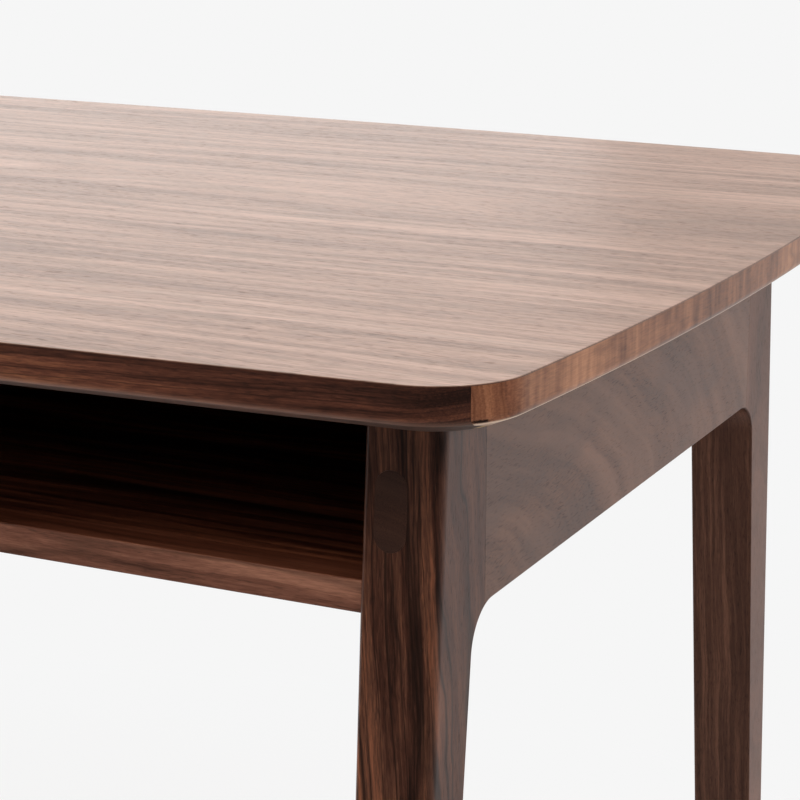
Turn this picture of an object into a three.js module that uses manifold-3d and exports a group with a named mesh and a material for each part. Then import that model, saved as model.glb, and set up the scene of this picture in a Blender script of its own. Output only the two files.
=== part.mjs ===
// Walnut writing desk: a thin top with softly curved sides, two side frames whose rails are
// tenoned right through the legs, and an open shelf between the frames under the top.
// Lengths are in millimetres. +Z is up, +X is to the sitter's right and -Y is towards the sitter.
// The origin is on the floor under the middle of the top.

import * as THREE from 'three';
import { mergeVertices } from 'three/addons/utils/BufferGeometryUtils.js';
import Module from 'manifold-3d';

const wasm = await Module();
wasm.setup();

// Overall sizes
const deskLength = 1350;
const deskDepth = 650;
const deskHeight = 750;

// Top: all four sides are long shallow curves
const topThickness = 21;
const longSideRadius = 10500;
const shortSideRadius = 2800;
const topCornerRadius = 40;
const veneerThickness = 0.6;
const endLippingWidth = 25;
const longLippingWidth = 42;

// Edge of the top: an upright band, a soft arris and a shallow bevel underneath
const uprightBandHeight = 15.4;
const underBevelWidth = 12.8;
const lowerArrisRadius = 2.2;

// Side frames: the ear is the part of the leg's top that carries the frame's rounded inner corner
const endOverhang = 66;
const sideRailLength = 371;
const sideRailHeight = 106;
const legThickness = 37;
const legWidth = 50;
const earWidth = 11;
const footThickness = 32.5;
const footWidth = 18;
const outerSplayShare = 0.076;
const innerCornerRadius = 22;
const legArrisRadius = 4;

// Round-ended tenons of the side rails: the inset is from the frame's outer face to the tenon's
// middle, and the rise is from the rail's lower edge
const throughTenonWidth = 15;
const throughTenonHeight = 35;
const throughTenonInset = 23;
const throughTenonRise = 51;

// Rear rail: each end has a short tenon below and above the side rail's through tenon
const rearRailThickness = 20;
const rearRailInset = 11.5;
const twinTenonLength = 14;
const twinTenonThickness = 10;
const twinTenonMargin = 4;

// Shelf and its middle divider
const shelfThickness = 15;
const shelfLift = 3.6;
const shelfSetback = 5.4;
const shelfLippingWidth = 18;
const dividerThickness = 18;
const dividerSetback = 32;

// Dowels
const dowelDiameter = 8;
const dowelLength = 30;
const dowelDepthInRearRail = 12;
const dowelDepthUnderDivider = 10;
const railDowelShares = [-0.36, 0, 0.36];
const rearDowelShares = [-0.375, -0.125, 0.125, 0.375];
const dividerDowelShares = [0.2, 0.5, 0.8];

// Figure-eight plates that hold the top down, and their screws
const plateThickness = 2.5;
const plateLobeDiameter = 19;
const plateLobeSpacing = 14;
const screwDiameter = 4;
const screwHeadDiameter = 7.6;
const screwHeadHeight = 2;
const screwPointLength = 4;
const topScrewLength = 14;
const railScrewLength = 25;
const railPlateShares = [-0.3, 0.3];
const rearPlateShares = [-0.25, 0.25];

// Glides under the feet
const glideDiameter = 15;
const glideThickness = 3;
const glideEdge = 0.8;
const glidePinDiameter = 2.4;
const glidePinLength = 14;

// Clearances
const jointClearance = 0.2;
const holeEndClearance = 0.5;
const headSink = 0.2;
const cutOverrun = 5;

// Steps of the curves
const longSideSteps = 16;
const shortSideSteps = 10;
const topCornerSteps = 8;
const arrisSteps = 3;
const innerCornerSteps = 10;
const legArrisSteps = 4;
const tenonRoundSteps = 8;
const roundSteps = 12;
const plateSteps = 20;

// Places that follow from the sizes
const halfLength = deskLength / 2;
const halfDepth = deskDepth / 2;
const undersideZ = deskHeight - topThickness;
const railBottomZ = undersideZ - sideRailHeight;
const footZ = glideThickness;
const frameOuterX = halfLength - endOverhang;
const frameInnerX = frameOuterX - legThickness;
const jointY = sideRailLength / 2;
const legLineY = jointY + legWidth;
const innerLineY = jointY + earWidth;
const footOuterY = legOuterY(footZ);
const footInnerY = footOuterY - footWidth;
const footMiddleX = frameOuterX - footThickness / 2;
const footMiddleY = footOuterY - footWidth / 2;
const tenonX = frameOuterX - throughTenonInset;
const tenonZ = railBottomZ + throughTenonRise;
const rearRailBackY = legLineY - rearRailInset;
const rearRailFrontY = rearRailBackY - rearRailThickness;
const shelfBottomZ = railBottomZ + shelfLift;
const shelfTopZ = shelfBottomZ + shelfThickness;
const shelfMiddleZ = shelfBottomZ + shelfThickness / 2;
const shelfFrontY = -(legLineY - shelfSetback);
const shelfBoardFrontY = shelfFrontY + shelfLippingWidth;
const dividerFrontY = shelfFrontY + dividerSetback;
const dividerDepth = rearRailFrontY - dividerFrontY;
const dowelRadius = dowelDiameter / 2;
const frontDowelY = (shelfBoardFrontY - jointY) / 2;

// The outer edge of a leg leans outwards on its way down
function legOuterY(z) {
  return legLineY + outerSplayShare * (railBottomZ - z);
}

// Finishes
function wood(color, roughness) {
  return new THREE.MeshStandardMaterial({ color, roughness, metalness: 0 });
}

const finishes = {
  topVeneer: () => wood('#b4988b', 0.45),
  darkWalnut: () => wood('#4d342a', 0.55),
  copperWalnut: () => wood('#94674e', 0.5),
  legWalnut: () => wood('#5f4a40', 0.55),
  railWalnut: () => wood('#78635a', 0.55),
  innerWalnut: () => wood('#59402f', 0.6),
  core: () => wood('#c3a67f', 0.85),
  beech: () => wood('#cfae83', 0.8),
  nylon: () => new THREE.MeshStandardMaterial({ color: '#1d1c1b', roughness: 0.6, metalness: 0 }),
  zincSteel: () => new THREE.MeshStandardMaterial({ color: '#b9b7b0', roughness: 0.4, metalness: 1 }),
};

// Solids: a closed geometry becomes one that can be cut and joined, and goes back again
function toSolid(geometry) {
  const bare = geometry.clone();
  bare.deleteAttribute('normal');
  bare.deleteAttribute('uv');
  const merged = mergeVertices(bare);
  return new wasm.Manifold(new wasm.Mesh({
    numProp: 3,
    vertProperties: new Float32Array(merged.attributes.position.array),
    triVerts: new Uint32Array(merged.index.array),
  }));
}

function toGeometry(solid) {
  const mesh = solid.getMesh();
  const geometry = new THREE.BufferGeometry();
  geometry.setAttribute('position', new THREE.BufferAttribute(mesh.vertProperties, 3));
  geometry.setIndex(new THREE.BufferAttribute(mesh.triVerts, 1));
  return geometry;
}

function cut(geometry, tools) {
  let solid = toSolid(geometry);
  for (const tool of tools) solid = solid.subtract(toSolid(tool));
  return toGeometry(solid);
}

function join(first, second) {
  return toGeometry(toSolid(first).add(toSolid(second)));
}

function overlap(first, second) {
  return toGeometry(toSolid(first).intersect(toSolid(second)));
}

// The same geometry on the other side of the desk, with its faces still pointing out
function mirrored(geometry, signX, signY) {
  const copy = geometry.clone().scale(signX, signY, 1);
  if (signX * signY < 0) {
    const index = copy.index.array;
    for (let i = 0; i < index.length; i += 3) {
      const second = index[i + 1];
      index[i + 1] = index[i + 2];
      index[i + 2] = second;
    }
  }
  return copy;
}

// A box between two corners
function block(low, high) {
  const size = high.map((value, axis) => value - low[axis]);
  const middle = high.map((value, axis) => (value + low[axis]) / 2);
  return new THREE.BoxGeometry(...size).translate(...middle);
}

// A ruled solid through level rings of points, listed from the lowest up, each anticlockwise
function loft(rings) {
  const count = rings[0].length;
  const positions = rings.flat().flatMap((point) => [point.x, point.y, point.z]);
  const faces = [];
  for (let level = 0; level + 1 < rings.length; level += 1) {
    for (let i = 0; i < count; i += 1) {
      const next = (i + 1) % count;
      const low = level * count;
      const high = low + count;
      faces.push(low + i, low + next, high + next, low + i, high + next, high + i);
    }
  }
  const last = (rings.length - 1) * count;
  for (let i = 1; i + 1 < count; i += 1) {
    faces.push(0, i + 1, i, last, last + i, last + i + 1);
  }
  const geometry = new THREE.BufferGeometry();
  geometry.setAttribute('position', new THREE.Float32BufferAttribute(positions, 3));
  geometry.setIndex(faces);
  return geometry;
}

function arcPoints(centreX, centreY, radius, from, to, steps) {
  const points = [];
  for (let i = 0; i <= steps; i += 1) {
    const angle = from + (to - from) * (i / steps);
    const x = centreX + radius * Math.cos(angle);
    const y = centreY + radius * Math.sin(angle);
    points.push(new THREE.Vector2(x, y));
  }
  return points;
}

// An outline in the plane of Y and Z, extruded along X
function extrudeAlongX(outline, fromX, toX) {
  const turn = new THREE.Matrix4().makeBasis(
    new THREE.Vector3(0, 1, 0), new THREE.Vector3(0, 0, 1), new THREE.Vector3(1, 0, 0));
  const settings = { depth: toX - fromX, bevelEnabled: false, steps: 1 };
  const geometry = new THREE.ExtrudeGeometry(new THREE.Shape(outline), settings);
  return geometry.applyMatrix4(turn).translate(fromX, 0, 0);
}

// A round bar from a point along X, Y or Z
function roundBar(radius, length, start, axis) {
  const bar = new THREE.CylinderGeometry(radius, radius, length, roundSteps);
  const along = new THREE.Vector3(...axis);
  const turn = new THREE.Quaternion().setFromUnitVectors(new THREE.Vector3(0, 1, 0), along);
  return bar.translate(0, length / 2, 0).applyQuaternion(turn).translate(...start);
}

// A turned solid about Z from radius and height pairs, listed from the lowest up
function turned(profile, steps) {
  const points = profile.map(([radius, height]) => new THREE.Vector2(radius, height));
  return new THREE.LatheGeometry(points, steps).rotateX(Math.PI / 2);
}

// Top
const endCurveX = halfLength - shortSideRadius;
const longCurveY = halfDepth - longSideRadius;
const cornerCentre = meetingPoint(
  new THREE.Vector2(endCurveX, 0), shortSideRadius - topCornerRadius,
  new THREE.Vector2(0, longCurveY), longSideRadius - topCornerRadius);
const cornerStart = Math.atan2(cornerCentre.y, cornerCentre.x - endCurveX);
const cornerEnd = Math.atan2(cornerCentre.y - longCurveY, cornerCentre.x);

// Where two circles cross to the right of the line from the first centre to the second
function meetingPoint(first, firstRadius, second, secondRadius) {
  const line = second.clone().sub(first);
  const distance = line.length();
  const along = (firstRadius ** 2 - secondRadius ** 2 + distance ** 2) / (2 * distance);
  const aside = Math.sqrt(firstRadius ** 2 - along ** 2);
  line.normalize();
  return new THREE.Vector2(
    first.x + line.x * along - line.y * aside,
    first.y + line.y * along + line.x * aside);
}

// The top's outline, drawn in by an inset and placed at a height
function topRing(inset, z) {
  const corner = topCornerRadius - inset;
  const short = shortSideRadius - inset;
  const long = longSideRadius - inset;
  const { x, y } = cornerCentre;
  const half = Math.PI;
  const full = 2 * Math.PI;
  const arcs = [
    arcPoints(endCurveX, 0, short, -cornerStart, cornerStart, shortSideSteps),
    arcPoints(x, y, corner, cornerStart, cornerEnd, topCornerSteps),
    arcPoints(0, longCurveY, long, cornerEnd, half - cornerEnd, longSideSteps),
    arcPoints(-x, y, corner, half - cornerEnd, half - cornerStart, topCornerSteps),
    arcPoints(-endCurveX, 0, short, half - cornerStart, half + cornerStart, shortSideSteps),
    arcPoints(-x, -y, corner, half + cornerStart, half + cornerEnd, topCornerSteps),
    arcPoints(0, -longCurveY, long, half + cornerEnd, full - cornerEnd, longSideSteps),
    arcPoints(x, -y, corner, full - cornerEnd, full - cornerStart, topCornerSteps),
  ];
  return arcs.flatMap((arc) => arc.slice(0, -1)).map((point) => new THREE.Vector3(point.x, point.y, z));
}

// How far the edge stands in, and at what height, from the underside up to the upright band
function edgeProfile() {
  const bevelHeight = topThickness - uprightBandHeight;
  const arrisZ = undersideZ + bevelHeight;
  const turn = Math.atan2(underBevelWidth, bevelHeight);
  const reach = lowerArrisRadius * Math.tan(turn / 2);
  const profile = [[underBevelWidth * (1 - veneerThickness / bevelHeight), backerZ]];
  for (let i = arrisSteps; i >= 0; i -= 1) {
    const angle = turn * (i / arrisSteps);
    profile.push([
      lowerArrisRadius * (1 - Math.cos(angle)),
      arrisZ + reach - lowerArrisRadius * Math.sin(angle),
    ]);
  }
  return profile;
}

const backerZ = undersideZ + veneerThickness;
const facingZ = deskHeight - veneerThickness;
const edge = edgeProfile();
const boardRings = edge.map(([inset, z]) => topRing(inset, z));
boardRings.push(topRing(0, facingZ));
const lippedBoard = loft(boardRings);
const topVeneer = loft([topRing(0, facingZ), topRing(0, deskHeight)]);
const backerVeneer = loft([topRing(underBevelWidth, undersideZ), topRing(edge[0][0], backerZ)]);

const coreX = halfLength - endLippingWidth;
const coreY = halfDepth - longLippingWidth;
const lowBoardZ = undersideZ - cutOverrun;
const highBoardZ = deskHeight + cutOverrun;
const pastX = halfLength + cutOverrun;
const pastY = halfDepth + cutOverrun;
const endCut = block([coreX, -pastY, lowBoardZ], [pastX, pastY, highBoardZ]);
const frontCut = block([-coreX, -pastY, lowBoardZ], [coreX, -coreY, highBoardZ]);
const coreCut = block([-coreX, -coreY, lowBoardZ], [coreX, coreY, highBoardZ]);

// Side frame with +X outside: its outline runs round both legs and the rail
function filletPoints(before, corner, after, radius, steps) {
  const toBefore = before.clone().sub(corner).normalize();
  const toAfter = after.clone().sub(corner).normalize();
  const opening = Math.acos(toBefore.dot(toAfter));
  const halfway = toBefore.clone().add(toAfter).normalize();
  const centre = corner.clone().addScaledVector(halfway, radius / Math.sin(opening / 2));
  const touch = radius / Math.tan(opening / 2);
  const first = corner.clone().addScaledVector(toBefore, touch).sub(centre).angle();
  const last = corner.clone().addScaledVector(toAfter, touch).sub(centre).angle();
  const sweep = Math.atan2(Math.sin(last - first), Math.cos(last - first));
  return arcPoints(centre.x, centre.y, radius, first, first + sweep, steps);
}

function frameOutline() {
  const rounded = filletPoints(
    new THREE.Vector2(footInnerY, footZ),
    new THREE.Vector2(innerLineY, railBottomZ),
    new THREE.Vector2(0, railBottomZ),
    innerCornerRadius,
    innerCornerSteps);
  const rearHalf = [
    new THREE.Vector2(legOuterY(undersideZ), undersideZ),
    new THREE.Vector2(footOuterY, footZ),
    new THREE.Vector2(footInnerY, footZ),
    ...rounded,
  ];
  const frontHalf = rearHalf.map((point) => new THREE.Vector2(-point.x, point.y)).reverse();
  return [...rearHalf, ...frontHalf].reverse();
}

const sideFrame = extrudeAlongX(frameOutline(), frameInnerX, frameOuterX);

// The space of a rear leg: full thickness down to the rail, tapered below it, outer arrises rounded
function legEnvelope() {
  const radius = legArrisRadius;
  const quarter = Math.PI / 2;
  const ringAt = (z, innerX) => {
    const y = legOuterY(z);
    return [
      new THREE.Vector2(innerX, jointY),
      new THREE.Vector2(frameOuterX, jointY),
      ...arcPoints(frameOuterX - radius, y - radius, radius, 0, quarter, legArrisSteps),
      ...arcPoints(innerX + radius, y - radius, radius, quarter, 2 * quarter, legArrisSteps),
    ].map((point) => new THREE.Vector3(point.x, point.y, z));
  };
  return loft([
    ringAt(footZ, frameOuterX - footThickness),
    ringAt(railBottomZ, frameInnerX),
    ringAt(undersideZ, frameInnerX),
  ]);
}

// A round-ended bar along Y, grown on all sides by a clearance
function tenonBar(clearance) {
  const radius = throughTenonWidth / 2 + clearance;
  const straight = (throughTenonHeight - throughTenonWidth) / 2;
  const half = Math.PI;
  const reach = legLineY + cutOverrun;
  const outline = [
    ...arcPoints(tenonZ + straight, tenonX, radius, -half / 2, half / 2, tenonRoundSteps),
    ...arcPoints(tenonZ - straight, tenonX, radius, half / 2, half * 1.5, tenonRoundSteps),
  ];
  const turn = new THREE.Matrix4().makeBasis(
    new THREE.Vector3(0, 0, 1), new THREE.Vector3(1, 0, 0), new THREE.Vector3(0, 1, 0));
  const settings = { depth: 2 * reach, bevelEnabled: false, steps: 1 };
  const bar = new THREE.ExtrudeGeometry(new THREE.Shape(outline), settings);
  return bar.applyMatrix4(turn).translate(0, -reach, 0);
}

const railSpace = block(
  [frameInnerX - cutOverrun, -jointY, railBottomZ - innerCornerRadius],
  [frameOuterX + cutOverrun, jointY, undersideZ + cutOverrun]);
const tenonedRail = join(overlap(sideFrame, railSpace), overlap(sideFrame, tenonBar(0)));
const plainLeg = overlap(sideFrame, legEnvelope());

// Holes for the dowels between the shelf and a side frame, and the dowels themselves
const frameDowelY = [...railDowelShares.map((share) => share * sideRailLength), frontDowelY];

function frameDowel(y, clearance, endClearance) {
  const start = [frameInnerX - dowelLength / 2 - endClearance, y, shelfMiddleZ];
  return roundBar(dowelRadius + clearance, dowelLength + 2 * endClearance, start, [1, 0, 0]);
}

const frameDowelHoles = frameDowelY.map((y) => frameDowel(y, jointClearance, holeEndClearance));
const railDowelHoles = frameDowelHoles.slice(0, -1);
const legDowelHole = frameDowelHoles.at(-1);

// Rear rail, with two short tenons at each end
function twinTenons(clearance, endClearance) {
  const middleY = (rearRailFrontY + rearRailBackY) / 2;
  const halfThickness = twinTenonThickness / 2 + clearance;
  const halfThrough = throughTenonHeight / 2;
  const spans = [
    [railBottomZ + twinTenonMargin, tenonZ - halfThrough - twinTenonMargin],
    [tenonZ + halfThrough + twinTenonMargin, undersideZ - twinTenonMargin],
  ];
  return spans.map(([fromZ, toZ]) => block(
    [frameInnerX - cutOverrun, middleY - halfThickness, fromZ - clearance],
    [frameInnerX + twinTenonLength + endClearance, middleY + halfThickness, toZ + clearance]));
}

const rearDowelX = rearDowelShares.map((share) => share * 2 * frameInnerX);

function rearDowel(x, clearance, endClearance) {
  const start = [x, rearRailFrontY + dowelDepthInRearRail - dowelLength - endClearance, shelfMiddleZ];
  return roundBar(dowelRadius + clearance, dowelLength + 2 * endClearance, start, [0, 1, 0]);
}

const rearDowelHoles = rearDowelX.map((x) => rearDowel(x, jointClearance, holeEndClearance));
const bareRearRail = block(
  [-frameInnerX, rearRailFrontY, railBottomZ],
  [frameInnerX, rearRailBackY, undersideZ]);
const rightTenons = twinTenons(0, 0);
const leftTenons = rightTenons.map((tenon) => mirrored(tenon, -1, 1));
const tenonedRearRail = [...rightTenons, ...leftTenons].reduce(join, bareRearRail);

// Dowels that stand in the shelf under the divider
const dividerDowelY = dividerDowelShares.map((share) => dividerFrontY + share * dividerDepth);

function dividerDowel(y, clearance, endClearance) {
  const start = [0, y, shelfTopZ - dowelDepthUnderDivider - endClearance];
  return roundBar(dowelRadius + clearance, dowelLength + 2 * endClearance, start, [0, 0, 1]);
}

const dividerDowelHoles = dividerDowelY.map((y) => dividerDowel(y, jointClearance, holeEndClearance));

// Figure-eight plates: one lobe lies in a pocket on top of a rail, the other under the top.
// Each place gives the point on the rail's inner face and the way from the rail to the space inside
const lobeRadius = plateLobeDiameter / 2;
const platePlaces = [
  ...[-1, 1].flatMap((side) => railPlateShares.map((share) => (
    { x: side * frameInnerX, y: share * sideRailLength, inX: -side, inY: 0 }))),
  ...rearPlateShares.map((share) => (
    { x: share * 2 * frameInnerX, y: rearRailFrontY, inX: 0, inY: -1 })),
];

function lobe(place, way, radius, fromZ, toZ) {
  const reach = way * plateLobeSpacing / 2;
  const disc = new THREE.CylinderGeometry(radius, radius, toZ - fromZ, plateSteps).rotateX(Math.PI / 2);
  const middleZ = (fromZ + toZ) / 2;
  return disc.translate(place.x + place.inX * reach, place.y + place.inY * reach, middleZ);
}

function platePocket(place) {
  const radius = lobeRadius + jointClearance;
  const fromZ = undersideZ - plateThickness;
  const toZ = undersideZ + cutOverrun;
  return join(lobe(place, 1, radius, fromZ, toZ), lobe(place, -1, radius, fromZ, toZ));
}

// A countersunk screw that points down from its head's face at height 0
const shankRadius = screwDiameter / 2;
const headRadius = screwHeadDiameter / 2;

function screw(length) {
  return turned([
    [0, -length],
    [shankRadius, screwPointLength - length],
    [shankRadius, -screwHeadHeight],
    [headRadius, 0],
    [0, 0],
  ], roundSteps);
}

function screwHole(length) {
  const shank = shankRadius + jointClearance;
  const head = headRadius + jointClearance;
  return turned([
    [0, -length - holeEndClearance],
    [shank, -length - holeEndClearance],
    [shank, -screwHeadHeight],
    [head, 0],
    [head, cutOverrun],
    [0, cutOverrun],
  ], roundSteps);
}

// Down into the rail from the plate's upper face
function railScrewAt(place, geometry) {
  const reach = -plateLobeSpacing / 2;
  const z = undersideZ - headSink;
  return geometry.translate(place.x + place.inX * reach, place.y + place.inY * reach, z);
}

// Up into the top from the plate's lower face
function topScrewAt(place, geometry) {
  const reach = plateLobeSpacing / 2;
  const z = undersideZ - plateThickness + headSink;
  const upright = geometry.rotateX(Math.PI);
  return upright.translate(place.x + place.inX * reach, place.y + place.inY * reach, z);
}

function plate(place) {
  const fromZ = undersideZ - plateThickness;
  const inLobe = lobe(place, 1, lobeRadius, fromZ, undersideZ);
  const railLobe = lobe(place, -1, lobeRadius, fromZ, undersideZ);
  return cut(join(inLobe, railLobe), [
    railScrewAt(place, screwHole(railScrewLength)),
    topScrewAt(place, screwHole(topScrewLength)),
  ]);
}

const railScrewHoles = platePlaces.map((place) => railScrewAt(place, screwHole(railScrewLength)));
const topScrewHoles = platePlaces.map((place) => topScrewAt(place, screwHole(topScrewLength)));
const platePockets = platePlaces.map(platePocket);
const onRightRail = platePlaces.map((place, i) => (place.inX < 0 ? i : -1)).filter((i) => i >= 0);
const onRearRail = platePlaces.map((place, i) => (place.inY < 0 ? i : -1)).filter((i) => i >= 0);

// Glides: a turned disc with a pin that is driven into the foot
const glideRadius = glideDiameter / 2;
const glidePinRadius = glidePinDiameter / 2;

function glide() {
  return turned([
    [0, 0],
    [glideRadius - glideEdge, 0],
    [glideRadius, glideEdge],
    [glideRadius, glideThickness],
    [glidePinRadius, glideThickness],
    [glidePinRadius, glideThickness + glidePinLength],
    [0, glideThickness + glidePinLength + glidePinRadius],
  ], plateSteps);
}

const glidePinHole = roundBar(
  glidePinRadius + jointClearance,
  glidePinLength + glidePinRadius + holeEndClearance + cutOverrun,
  [footMiddleX, footMiddleY, footZ - cutOverrun],
  [0, 0, 1]);

// Assembly
const desk = new THREE.Group();

function add(name, geometry, material) {
  geometry.computeVertexNormals();
  const mesh = new THREE.Mesh(geometry, material);
  mesh.name = name;
  desk.add(mesh);
  return mesh;
}

add('top_veneer', topVeneer, finishes.topVeneer());
add('top_core', cut(overlap(lippedBoard, coreCut), topScrewHoles), finishes.core());
add('top_backer_veneer', cut(backerVeneer, topScrewHoles), finishes.innerWalnut());
const frontLipping = overlap(lippedBoard, frontCut);
add('front_lipping', frontLipping, finishes.darkWalnut());
add('rear_lipping', mirrored(frontLipping, 1, -1), finishes.darkWalnut());
const rightLipping = overlap(lippedBoard, endCut);
add('right_lipping', rightLipping, finishes.copperWalnut());
add('left_lipping', mirrored(rightLipping, -1, 1), finishes.copperWalnut());

const boredLeg = cut(plainLeg, [tenonBar(jointClearance), glidePinHole]);
const rearRightLeg = cut(boredLeg, twinTenons(jointClearance, holeEndClearance));
const frontRightLeg = cut(mirrored(boredLeg, 1, -1), [legDowelHole]);
add('front_right_leg', frontRightLeg, finishes.legWalnut());
add('front_left_leg', mirrored(frontRightLeg, -1, 1), finishes.legWalnut());
add('rear_right_leg', rearRightLeg, finishes.legWalnut());
add('rear_left_leg', mirrored(rearRightLeg, -1, 1), finishes.legWalnut());

const rightSideRail = cut(tenonedRail, [
  ...railDowelHoles,
  ...onRightRail.flatMap((i) => [platePockets[i], railScrewHoles[i]]),
]);
add('right_side_rail', rightSideRail, finishes.railWalnut());
add('left_side_rail', mirrored(rightSideRail, -1, 1), finishes.railWalnut());
add('rear_rail', cut(tenonedRearRail, [
  ...rearDowelHoles,
  ...onRearRail.flatMap((i) => [platePockets[i], railScrewHoles[i]]),
]), finishes.railWalnut());

const shelfBoard = block(
  [-frameInnerX, shelfBoardFrontY, shelfBottomZ],
  [frameInnerX, rearRailFrontY, shelfTopZ]);
add('shelf_board', cut(shelfBoard, [
  ...frameDowelHoles,
  ...frameDowelHoles.map((hole) => mirrored(hole, -1, 1)),
  ...rearDowelHoles,
  ...dividerDowelHoles,
]), finishes.innerWalnut());
add('shelf_front_lipping', block(
  [-frameInnerX, shelfFrontY, shelfBottomZ],
  [frameInnerX, shelfBoardFrontY, shelfTopZ]), finishes.innerWalnut());
add('shelf_divider', cut(block(
  [-dividerThickness / 2, dividerFrontY, shelfTopZ],
  [dividerThickness / 2, rearRailFrontY, undersideZ]), dividerDowelHoles), finishes.innerWalnut());

frameDowelY.forEach((y, i) => {
  const dowel = frameDowel(y, 0, 0);
  add(`right_shelf_dowel_${i + 1}`, dowel, finishes.beech());
  add(`left_shelf_dowel_${i + 1}`, mirrored(dowel, -1, 1), finishes.beech());
});
rearDowelX.forEach((x, i) => add(`rear_shelf_dowel_${i + 1}`, rearDowel(x, 0, 0), finishes.beech()));
dividerDowelY.forEach((y, i) => add(`divider_dowel_${i + 1}`, dividerDowel(y, 0, 0), finishes.beech()));

platePlaces.forEach((place, i) => {
  add(`figure_eight_plate_${i + 1}`, plate(place), finishes.zincSteel());
  add(`rail_screw_${i + 1}`, railScrewAt(place, screw(railScrewLength)), finishes.zincSteel());
  add(`top_screw_${i + 1}`, topScrewAt(place, screw(topScrewLength)), finishes.zincSteel());
});

for (const [end, signY] of [['front', -1], ['rear', 1]]) {
  for (const [side, signX] of [['left', -1], ['right', 1]]) {
    const mesh = add(`${end}_${side}_glide`, glide(), finishes.nylon());
    mesh.position.set(signX * footMiddleX, signY * footMiddleY, 0);
  }
}

export default desk;
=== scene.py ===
import math

import bmesh
import bpy
from mathutils import Matrix, Vector


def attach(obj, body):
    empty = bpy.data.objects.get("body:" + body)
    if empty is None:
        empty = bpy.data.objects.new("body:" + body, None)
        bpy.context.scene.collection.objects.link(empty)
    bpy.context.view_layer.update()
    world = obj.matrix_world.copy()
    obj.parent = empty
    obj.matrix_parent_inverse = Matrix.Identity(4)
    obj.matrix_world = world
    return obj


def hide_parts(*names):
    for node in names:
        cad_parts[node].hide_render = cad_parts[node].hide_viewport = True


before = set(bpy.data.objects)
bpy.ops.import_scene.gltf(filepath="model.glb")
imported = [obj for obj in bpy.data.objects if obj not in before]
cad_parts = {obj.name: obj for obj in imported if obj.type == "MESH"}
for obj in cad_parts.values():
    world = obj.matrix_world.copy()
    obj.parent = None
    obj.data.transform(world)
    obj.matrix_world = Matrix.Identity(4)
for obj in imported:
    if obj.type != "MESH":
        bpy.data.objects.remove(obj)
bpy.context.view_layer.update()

scene = bpy.context.scene


# The view of the photograph: a long lens at the right front corner, a little above the top. The
# place and turn are those that bring the legs, rails, shelf and top onto the photograph's. Here and
# in the desk's own sections lengths are in millimetres, and the studio's are in metres.
MM = 0.001
VIEW_PLACE = (987.4, -1056.3, 962.2)
VIEW_YAW, VIEW_PITCH, VIEW_ROLL = 25.712, 14.684, -0.135
VIEW_FOCAL_PIXELS, PICTURE_PIXELS = 2321.7, 800
SENSOR_WIDTH, VIEW_REACH = 36, 100


def view_matrix():
    yaw, pitch, roll = (math.radians(a) for a in (VIEW_YAW, VIEW_PITCH, VIEW_ROLL))
    ahead = Vector((-math.sin(yaw) * math.cos(pitch), math.cos(yaw) * math.cos(pitch),
                    -math.sin(pitch)))
    level = Vector((math.cos(yaw), math.sin(yaw), 0))
    below = ahead.cross(level)
    right = math.cos(roll) * level + math.sin(roll) * below
    up = math.sin(roll) * level - math.cos(roll) * below
    turned = Matrix((right, up, -ahead)).transposed().to_4x4()
    return Matrix.Translation(Vector(VIEW_PLACE) * MM) @ turned


lens = bpy.data.cameras.new("corner_view")
lens.sensor_width = SENSOR_WIDTH
lens.lens = VIEW_FOCAL_PIXELS * SENSOR_WIDTH / PICTURE_PIXELS
lens.clip_end = VIEW_REACH
camera = bpy.data.objects.new("corner_view", lens)
camera.matrix_world = view_matrix()
scene.collection.objects.link(camera)
scene.camera = camera
scene.view_settings.view_transform = "Standard"


# The studio: white paper lies under the desk and rises behind it and at its sides, and the room in
# front of it is dim. A large soft lamp hangs overhead, with others behind, at the sides and in
# front. The paper is matt, and shows only a faint shadow round the feet.
BACKGROUND = "#F6F6F6"
FLOOR_RADIUS, FLOOR_SIDES = 40, 96
FLOOR_WHITE, FLOOR_DIM = "#F8F7F6", "#4E4B49"
SHADOW_NEAR, SHADOW_FAR, SHADOW_SHARE = 0.5, 1.1, 0.35
LIT_FROM, LIT_FULL = -2.6, -1.6
MIRRORED_FROM, MIRRORED_FULL = -0.8, 1.2
SKY_FROM, SKY_FULL = -0.2, 0.3
SKY_LOW, SKY_HIGH, SKY_FALL = 0.08, 0.4, 0.5
BACKWARDS, BACK_LEFT, UPWARDS = (0, 1, 0), (-0.7, 1, 0), (0, 0, 1)
ROOM_WHITE, ROOM_STRENGTH = "#FFFFFF", 0.10
LAMPS = (
    # name, place, target, width, depth, watts, colour, whether a gloss shows it
    ("overhead", (0.1, 0.5, 2.8), (0.1, 0.0, 0.7), 3.2, 2.6, 44, "#FFFFFF", True),
    ("behind_left", (-3.0, 3.2, 1.4), (0.0, 0.0, 0.7), 4.8, 3.0, 26, "#FFFFFF", False),
    ("sheen_left", (-3.0, 3.2, 1.1), (0.0, 0.0, 0.7), 4.8, 1.0, 23, "#FFFFFF", True),
    ("right", (2.2, 1.4, 1.1), (0.6, 0.1, 0.6), 2.0, 1.6, 44, "#FFFFFF", False),
    ("left", (-3.2, 0.7, 1.2), (-0.6, 0.0, 0.6), 2.6, 2.0, 40, "#FFFFFF", False),
    ("front", (-0.6, -2.6, 2.6), (0.0, 0.0, 0.6), 2.8, 1.1, 46, "#FFF8F2", False),
    ("right_front", (2.2, -1.8, 2.4), (0.6, -0.2, 0.6), 1.4, 1.2, 10, "#FFF8F2", False),
    ("low_left", (-3.2, -1.9, 0.25), (0.5, 0.0, 0.5), 2.4, 0.5, 28, "#FFF8F2", False),
)
MATH, VECTOR_MATH = "ShaderNodeMath", "ShaderNodeVectorMath"
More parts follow.
